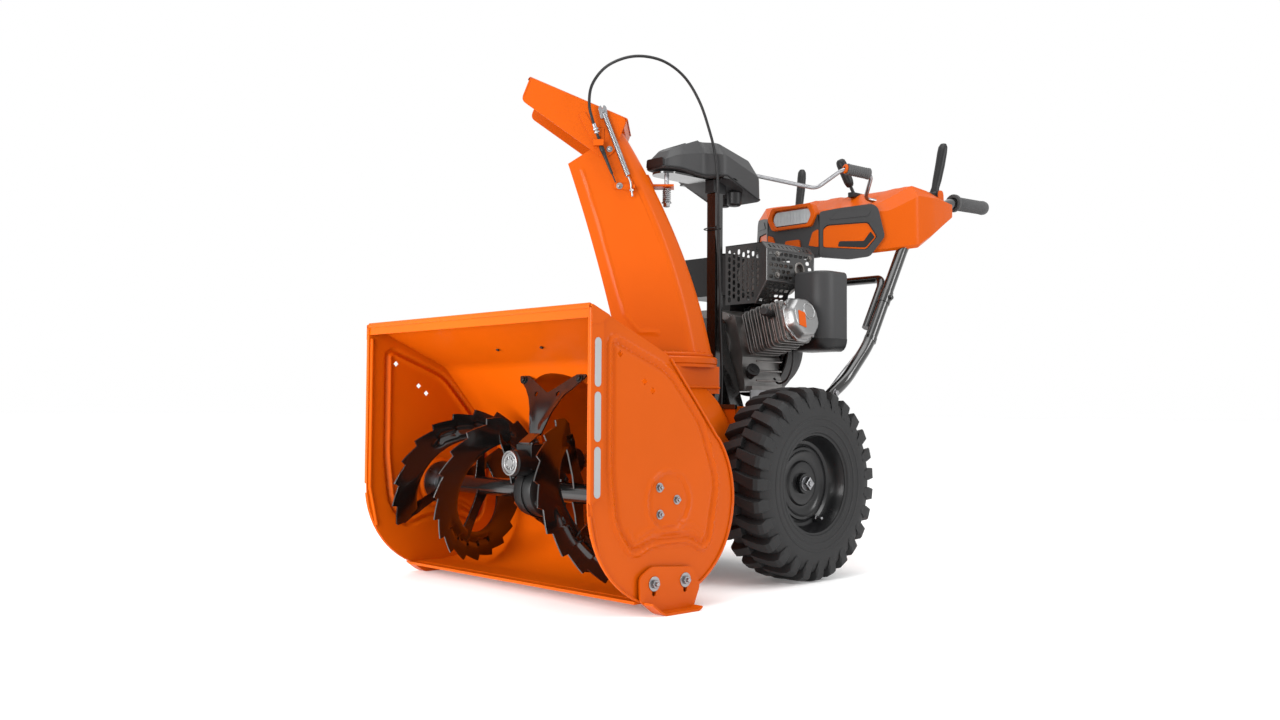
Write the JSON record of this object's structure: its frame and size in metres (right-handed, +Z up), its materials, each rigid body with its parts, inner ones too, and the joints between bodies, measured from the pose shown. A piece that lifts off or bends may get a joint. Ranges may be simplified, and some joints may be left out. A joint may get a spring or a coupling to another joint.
{
  "type": "two stage snow blower",
  "caption": "Walk-behind two stage snow blower with a wide auger housing, ribbon rakes, a tall crank-turned chute, chevron tyres and an open-frame engine.",
  "frame": {"origin": "on the ground, under the middle of the whole machine's length and width", "axes": "+Z up, -Y the way the auger faces, +Y towards the operator, +X the operator's left"},
  "size_m": [0.772, 1.5087, 1.1352],
  "materials": {
    "orange_paint": "gloss powder coat",
    "black_steel": "semi-gloss black paint",
    "black_casting": "black paint on a casting",
    "zinc_steel": "bright zinc plate",
    "cast_alloy": "as cast",
    "silver_cover": "satin",
    "exhaust_steel": "heat darkened",
    "brass": "machined",
    "rubber": "matte",
    "tyre": "matte",
    "rim_paint": "satin dark paint",
    "dark_plastic": "fine grain",
    "black_plastic": "fine grain",
    "lens": "clear lens",
    "reflector": "silver reflective"
  },
  "bodies": {
    "chassis": {"housing_wrap": "orange_paint", "side_plates": "orange_paint", "reflector_strips": "reflector", "impeller_drum": "orange_paint", "scraper_bar": "orange_paint", "skid_shoes": "orange_paint", "housing_bolts": "zinc_steel", "auger_bushes": "zinc_steel", "gearcase": "black_casting", "gearcase_brace": "black_steel", "chute_base": "orange_paint", "tractor_frame": "orange_paint", "frame_cover": "black_steel", "belt_cover": "black_steel", "auger_belt": "rubber", "engine_plate": "zinc_steel", "crankcase": "cast_alloy", "cylinder_block": "cast_alloy", "valve_cover": "silver_cover", "muffler": "exhaust_steel", "muffler_guard": "black_steel", "blower_housing": "dark_plastic", "fuel_tank": "black_plastic", "heater_box": "dark_plastic", "oil_plug": "black_plastic", "tower_post": "black_steel", "tower_head": "black_steel", "head_cover": "dark_plastic", "handlebar_left": "black_steel", "handlebar_right": "black_steel", "cross_brace": "black_steel", "hand_grips": "rubber", "console_shell": "orange_paint", "console_panels": "dark_plastic", "headlight": "lens", "deflector_cable": "black_plastic", "traction_cable": "zinc_steel"},
    "auger": {"auger_shaft": "zinc_steel", "auger_rake_left": "black_steel", "auger_rake_right": "black_steel", "worm_wheel": "brass"},
    "impeller": {"impeller": "black_steel", "impeller_shaft": "zinc_steel"},
    "crankshaft": {"crankshaft": "zinc_steel"},
    "wheel_left": {"tyre_left": "tyre", "rim_left": "rim_paint"},
    "wheel_right": {"tyre_right": "tyre", "rim_right": "rim_paint"},
    "chute": {"chute": "orange_paint", "chute_gear": "orange_paint"},
    "deflector": {"deflector": "orange_paint", "deflector_spring": "zinc_steel"},
    "crank": {"chute_crank": "zinc_steel"},
    "pinion": {"chute_pinion": "zinc_steel"},
    "paddle_left": {"paddle_left": "black_plastic"},
    "paddle_right": {"paddle_right": "black_plastic"},
    "speed_lever": {"speed_lever": "black_plastic"},
    "recoil_handle": {"recoil_handle": "black_plastic"},
    "primer_bulb": {"primer_bulb": "rubber"},
    "fuel_cap": {"fuel_cap": "black_plastic"}
  },
  "joints": [
    {"name": "auger_spin", "type": "hinge", "parent": "chassis", "child": "auger", "pos_m": [0, -0.564, 0.194], "axis": [1, 0, 0], "continuous": true},
    {"name": "impeller_spin", "type": "hinge", "parent": "chassis", "child": "impeller", "pos_m": [0, -0.264, 0.25], "axis": [0, 1, 0], "continuous": true},
    {"name": "crankshaft_spin", "type": "hinge", "parent": "chassis", "child": "crankshaft", "pos_m": [-0.03, 0.036, 0.505], "axis": [0, 1, 0], "continuous": true},
    {"name": "wheel_left_spin", "type": "hinge", "parent": "chassis", "child": "wheel_left", "pos_m": [0.255, -0.08, 0.203], "axis": [1, 0, 0], "continuous": true},
    {"name": "wheel_right_spin", "type": "hinge", "parent": "chassis", "child": "wheel_right", "pos_m": [-0.255, -0.08, 0.203], "axis": [1, 0, 0], "continuous": true},
    {"name": "chute_turn", "type": "hinge", "parent": "chassis", "child": "chute", "pos_m": [0, -0.219, 0.475], "axis": [0, 0, 1], "range_deg": [-53, 145], "deforming": ["deflector_cable"]},
    {"name": "deflector_tilt", "type": "hinge", "parent": "chute", "child": "deflector", "pos_m": [-0.09105, -0.30754, 0.914], "axis": [0.6972, -0.7169, 0], "range_deg": [0, 45], "deforming": ["deflector_cable", "deflector_spring"]},
    {"name": "crank_spin", "type": "hinge", "parent": "chassis", "child": "crank", "pos_m": [0, 0.026, 0.917], "axis": [0.4265, 0.8958, -0.1251], "range_deg": [-131, 48]},
    {"name": "pinion_spin", "type": "hinge", "parent": "chassis", "child": "pinion", "pos_m": [0, -0.162, 0.888], "axis": [0, 0, 1], "range_deg": [-131, 48]},
    {"name": "paddle_left_pivot", "type": "hinge", "parent": "chassis", "child": "paddle_left", "pos_m": [0.217, 0.511, 0.898], "axis": [1, 0, 0], "range_deg": [-56, 0], "stiffness_Nm_per_rad": 1.5},
    {"name": "paddle_right_pivot", "type": "hinge", "parent": "chassis", "child": "paddle_right", "pos_m": [-0.217, 0.511, 0.898], "axis": [1, 0, 0], "range_deg": [-56, 0], "stiffness_Nm_per_rad": 1.5},
    {"name": "speed_lever_pivot", "type": "hinge", "parent": "chassis", "child": "speed_lever", "pos_m": [0.07, 0.401, 0.862], "axis": [1, 0, 0], "range_deg": [-18, 18]},
    {"name": "recoil_pull", "type": "slide", "parent": "chassis", "child": "recoil_handle", "axis": [0, 1, 0], "range_m": [0, 0.3], "stiffness_N_per_m": 30},
    {"name": "primer_press", "type": "slide", "parent": "chassis", "child": "primer_bulb", "axis": [0, -1, 0], "range_m": [0, 0.006], "stiffness_N_per_m": 400},
    {"name": "fuel_cap_turn", "type": "hinge", "parent": "chassis", "child": "fuel_cap", "pos_m": [-0.11, 0.096, 0.73], "axis": [0, 0, 1], "range_deg": [0, 90]}
  ],
  "couplings": [
    {"joint": "impeller_spin", "follows": "auger_spin", "ratio": 10},
    {"joint": "pinion_spin", "follows": "chute_turn", "ratio": -0.9},
    {"joint": "crank_spin", "follows": "chute_turn", "ratio": -0.9}
  ]
}
